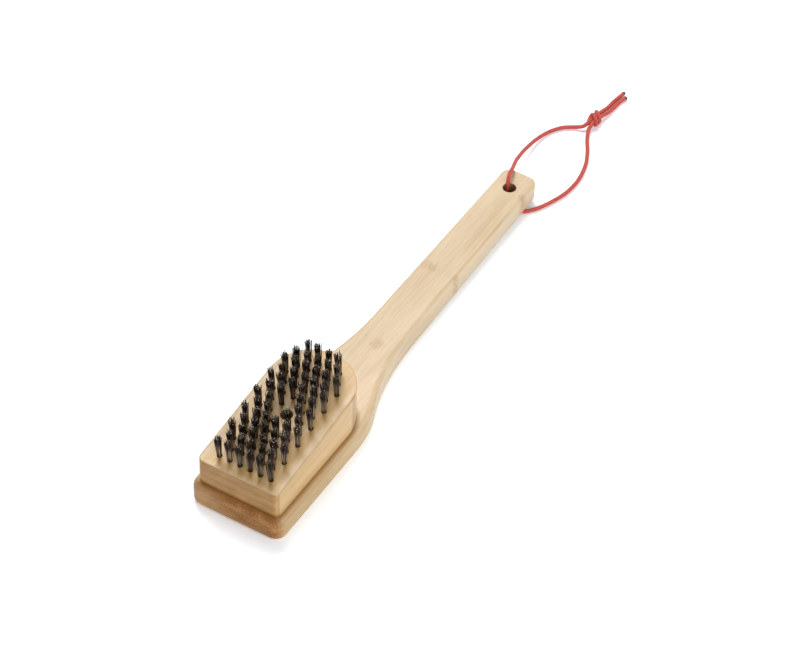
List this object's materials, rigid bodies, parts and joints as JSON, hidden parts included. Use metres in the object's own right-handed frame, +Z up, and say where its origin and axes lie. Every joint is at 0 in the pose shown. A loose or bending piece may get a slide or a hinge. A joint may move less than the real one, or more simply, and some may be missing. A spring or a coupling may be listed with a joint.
{
  "type": "grill brush",
  "caption": "Grill brush with a light bamboo handle board, a wedge-shaped screwed-on block of dark wire tufts and a coral-red hanging cord tied in a loop",
  "frame": {"origin": "on the resting plane, under the middle of the handle's length and width", "axes": "+X along the handle towards the hanging hole, +Y across it, +Z up from the resting plane to the bristle tips"},
  "size_m": [0.4186, 0.0566, 0.0584],
  "materials": {
    "handle_bamboo": "smooth light bamboo with fine grain and a few nodes",
    "block_bamboo": "smooth light bamboo, laminated",
    "bristle_wire": "dark oil-tempered wire, frayed tips",
    "screw_steel": "plain zinc-plated steel",
    "cord_red": "braided coral-red cord"
  },
  "bodies": {
    "handle_body": {"handle": "handle_bamboo", "cord_loop": "cord_red", "cord_knot": "cord_red", "cord_tail_long": "cord_red", "cord_tail_short": "cord_red"},
    "head": {"brush_block": "block_bamboo", "tufts_row_01": "bristle_wire", "tufts_row_02": "bristle_wire", "tufts_row_03": "bristle_wire", "tufts_row_04": "bristle_wire", "tufts_row_05": "bristle_wire", "tufts_row_06_right": "bristle_wire", "tufts_row_06_left": "bristle_wire", "tufts_row_07_right": "bristle_wire", "tufts_row_07_left": "bristle_wire", "tufts_row_08_right": "bristle_wire", "tufts_row_08_left": "bristle_wire", "tufts_row_09": "bristle_wire", "tufts_row_10": "bristle_wire", "tufts_row_11": "bristle_wire", "tufts_row_12": "bristle_wire", "tufts_row_13": "bristle_wire"},
    "screw": {"head_screw": "screw_steel"}
  },
  "joints": [
    {"name": "head_lift", "type": "slide", "parent": "handle_body", "child": "head", "axis": [0, 0, 1], "range_m": [0, 0.03]},
    {"name": "screw_turn", "type": "hinge", "parent": "head", "child": "screw", "pos_m": [-0.1021, 0, 0.0211], "axis": [0, 0, 1], "continuous": true}
  ]
}
